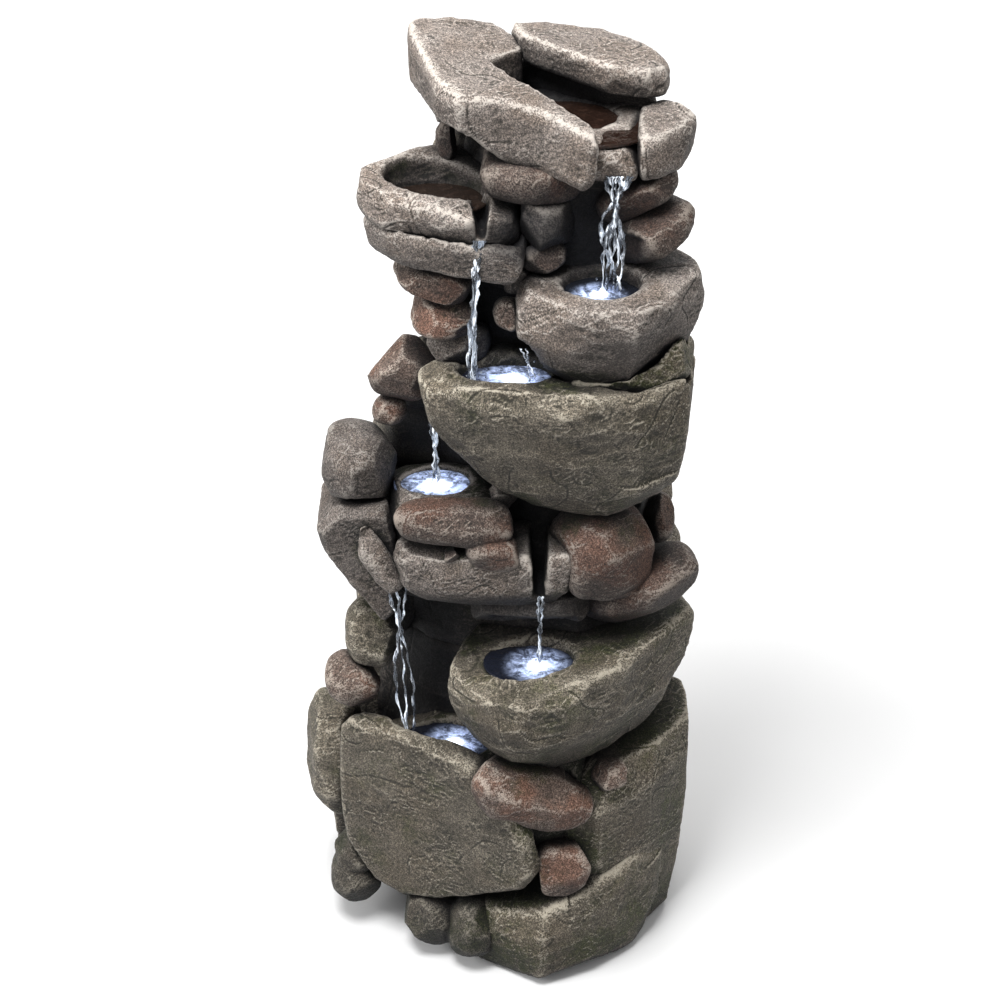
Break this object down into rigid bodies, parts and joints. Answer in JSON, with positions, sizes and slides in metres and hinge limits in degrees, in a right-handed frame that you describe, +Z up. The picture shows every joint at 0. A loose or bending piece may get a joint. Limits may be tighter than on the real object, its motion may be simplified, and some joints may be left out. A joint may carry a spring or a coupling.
{
  "type": "tiered rock fountain",
  "caption": "Tiered fountain of stacked rocks with lit pools, a hollow column, a pump with riser hose and a rear service door.",
  "frame": {"origin": "middle of the bounding box of the fountain, on the surface it stands on", "axes": "+Z up, the front with the pools faces -Y, +X to the viewer's right"},
  "size_m": [0.4137, 0.386, 0.998],
  "materials": {
    "grey_rock": "cast and painted rough rock, pale dry-brushed ridges",
    "mossy_rock": "cast and painted rough rock, green moss tint in the hollows",
    "red_rock": "cast and painted rounded stone, reddish brown",
    "core_rock": "cast and painted dark rough rock",
    "black_plastic": "moulded, matt",
    "door_plastic": "moulded, matt, rock coloured",
    "rotor_plastic": "moulded, over a magnet",
    "shaft_ceramic": "ground",
    "hose": "soft clear hose",
    "lens": "clear, moulded",
    "lead_sheath": "round cord",
    "rubber": "moulded"
  },
  "bodies": {
    "fountain": {"base_grey_stones": "mossy_rock", "base_red_stones": "red_rock", "basin_bowl": "mossy_rock", "cable_gland": "black_plastic", "cap_stone": "grey_rock", "cap_support_stone": "grey_rock", "centre_bowl": "mossy_rock", "door_frame": "black_plastic", "front_slab": "mossy_rock", "front_toe_stone": "mossy_rock", "junction_block": "black_plastic", "ledge_stone": "grey_rock", "left_base_boulder": "mossy_rock", "left_boulder": "grey_rock", "left_leaning_slab": "grey_rock", "left_lower_red_stone": "red_rock", "left_lower_stones": "mossy_rock", "left_pool_bowl": "grey_rock", "light_cups": "black_plastic", "light_leads": "lead_sheath", "light_lenses": "lens", "lower_column": "core_rock", "lower_right_bowl": "mossy_rock", "middle_column": "core_rock", "middle_grey_stones": "grey_rock", "middle_red_stones": "red_rock", "neck_grey_stones": "grey_rock", "neck_red_stones": "red_rock", "pump_cover": "black_plastic", "pump_lead": "lead_sheath", "pump_motor": "black_plastic", "pump_shaft": "shaft_ceramic", "pump_suction_feet": "rubber", "rear_left_base_slab": "mossy_rock", "rear_left_stones": "mossy_rock", "rear_lintel_stone": "mossy_rock", "rear_right_base_slab": "mossy_rock", "rear_right_stones": "mossy_rock", "rear_slabs": "mossy_rock", "reservoir": "core_rock", "right_base_slab": "mossy_rock", "right_bowl": "grey_rock", "right_shoulder_stone": "mossy_rock", "riser_hose": "hose", "rubber_feet": "rubber", "top_bowl_floor": "grey_rock", "top_crescent_slab": "grey_rock", "top_nozzle": "black_plastic", "top_rear_stone": "grey_rock", "top_right_slab": "grey_rock", "upper_column": "core_rock", "upper_left_bowl": "grey_rock", "upper_left_red_stones": "red_rock", "upper_left_under_slab": "grey_rock", "upper_red_stones": "red_rock"},
    "access_door": {"access_door": "door_plastic"},
    "door_button": {"door_button": "black_plastic"},
    "pump_rotor": {"pump_rotor": "rotor_plastic"},
    "flow_dial": {"flow_dial": "black_plastic"},
    "drain_plug": {"drain_plug": "rubber"}
  },
  "joints": [
    {"name": "door_tilt", "type": "hinge", "parent": "fountain", "child": "access_door", "pos_m": [0, 0.168, 0.133], "axis": [-1, 0, 0], "range_deg": [0, 60]},
    {"name": "button_turn", "type": "hinge", "parent": "fountain", "child": "door_button", "pos_m": [0, 0.176, 0.278], "axis": [0, 1, 0], "range_deg": [0, 90]},
    {"name": "rotor_spin", "type": "hinge", "parent": "fountain", "child": "pump_rotor", "pos_m": [0, 0.08, 0.046], "axis": [1, 0, 0], "continuous": true},
    {"name": "dial_turn", "type": "hinge", "parent": "fountain", "child": "flow_dial", "pos_m": [0.016, 0.08, 0.07], "axis": [0, 0, 1], "range_deg": [0, 90]},
    {"name": "drain_pull", "type": "slide", "parent": "fountain", "child": "drain_plug", "axis": [0, 1, 0], "range_m": [0, 0.03]}
  ]
}
